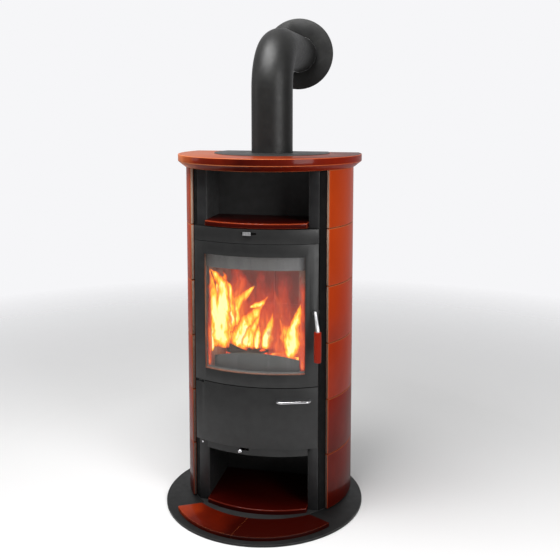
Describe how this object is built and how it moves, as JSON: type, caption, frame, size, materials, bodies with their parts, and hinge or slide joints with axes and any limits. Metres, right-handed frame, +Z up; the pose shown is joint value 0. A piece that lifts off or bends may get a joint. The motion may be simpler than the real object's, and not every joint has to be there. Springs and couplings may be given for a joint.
{
  "type": "tiled wood stove",
  "caption": "Upright wood stove with glazed side tiles, a curved glass door over a lower door, a warming niche, a wood store and a flue pipe that bends back to the wall.",
  "frame": {"origin": "on the floor, on the upright axis that the side tiles and the top plate curve about", "axes": "+Z up, -Y towards the front with the doors, +Y towards the wall that the flue enters, +X to the right as seen from the front"},
  "size_m": [0.7038, 1.0499, 1.772],
  "materials": {
    "red_glaze": "glossy orange-red glaze that runs to dark red",
    "grip_glaze": "glossy orange-red",
    "casing_grey": "satin dark grey stove paint",
    "flue_grey": "satin dark grey stove paint",
    "firebox_black": "matt black heat-proof paint",
    "firebrick": "matt sooty firebrick",
    "cast_grate": "rough cast",
    "door_glass": "clear ceramic glass",
    "sealing_rope": "woven fibre",
    "bright_steel": "polished"
  },
  "bodies": {
    "stove": {"air_band": "casing_grey", "ash_floor": "firebox_black", "back_panel": "casing_grey", "baffle_plate": "firebrick", "base_plate": "casing_grey", "brick_back": "firebrick", "brick_floor": "firebrick", "brick_side_left": "firebrick", "brick_side_right": "firebrick", "firebox_floor": "firebox_black", "firebox_front": "firebox_black", "firebox_shell": "firebox_black", "firebox_top": "firebox_black", "floor_plate": "casing_grey", "flue_pipe": "flue_grey", "front_post_left": "casing_grey", "front_post_right": "casing_grey", "grate": "cast_grate", "hearth_tile_left": "red_glaze", "hearth_tile_right": "red_glaze", "hinge_lugs": "casing_grey", "hinge_pins": "bright_steel", "latch_keeper": "casing_grey", "log_retainer": "firebox_black", "niche_liner": "firebox_black", "niche_shelf_tile": "red_glaze", "side_tile_1_left": "red_glaze", "side_tile_1_right": "red_glaze", "side_tile_2_left": "red_glaze", "side_tile_2_right": "red_glaze", "side_tile_3_left": "red_glaze", "side_tile_3_right": "red_glaze", "side_tile_4_left": "red_glaze", "side_tile_4_right": "red_glaze", "side_tile_5_left": "red_glaze", "side_tile_5_right": "red_glaze", "side_tile_6_left": "red_glaze", "side_tile_6_right": "red_glaze", "store_apron": "casing_grey", "store_liner": "firebox_black", "store_tile": "red_glaze", "tile_carrier_left": "casing_grey", "tile_carrier_right": "casing_grey", "top_insert": "casing_grey", "top_tile": "red_glaze", "wall_rosette": "flue_grey"},
    "firebox_door": {"door_skin": "casing_grey", "door_glass": "door_glass", "glass_gasket": "sealing_rope", "glass_clamp_frame": "firebox_black", "door_seal": "sealing_rope"},
    "door_handle": {"handle_spindle": "casing_grey", "handle_lever": "bright_steel", "handle_grip": "grip_glaze"},
    "ash_door": {"lower_door": "casing_grey", "lower_door_bar": "bright_steel"},
    "pan": {"ash_pan": "firebox_black"},
    "air_control": {"air_slider": "bright_steel"},
    "primary_air": {"primary_air_slide": "bright_steel"}
  },
  "joints": [
    {"name": "firebox_door_hinge", "type": "hinge", "parent": "stove", "child": "firebox_door", "pos_m": [-0.192, -0.222, 0.7], "axis": [0, 0, -1], "range_deg": [0, 100]},
    {"name": "handle_turn", "type": "hinge", "parent": "firebox_door", "child": "door_handle", "pos_m": [0.203, -0.22609, 0.72], "axis": [0.4362, -0.8999, 0], "range_deg": [0, 60]},
    {"name": "lower_door_hinge", "type": "hinge", "parent": "stove", "child": "ash_door", "pos_m": [-0.192, -0.222, 0.35], "axis": [0, 0, -1], "range_deg": [0, 100]},
    {"name": "ash_pan_slide", "type": "slide", "parent": "stove", "child": "pan", "axis": [0, -1, 0], "range_m": [0, 0.195]},
    {"name": "air_slider_turn", "type": "hinge", "parent": "stove", "child": "air_control", "pos_m": [0, 0.1927, 0.989], "axis": [0, 0, 1], "range_deg": [-0.6, 1.8]},
    {"name": "primary_air_slide_x", "type": "slide", "parent": "stove", "child": "primary_air", "axis": [1, 0, 0], "range_m": [0, 0.02]}
  ],
  "couplings": [
    {"joint": "ash_pan_slide", "follows": "lower_door_hinge", "m_per_rad": 0.109}
  ]
}
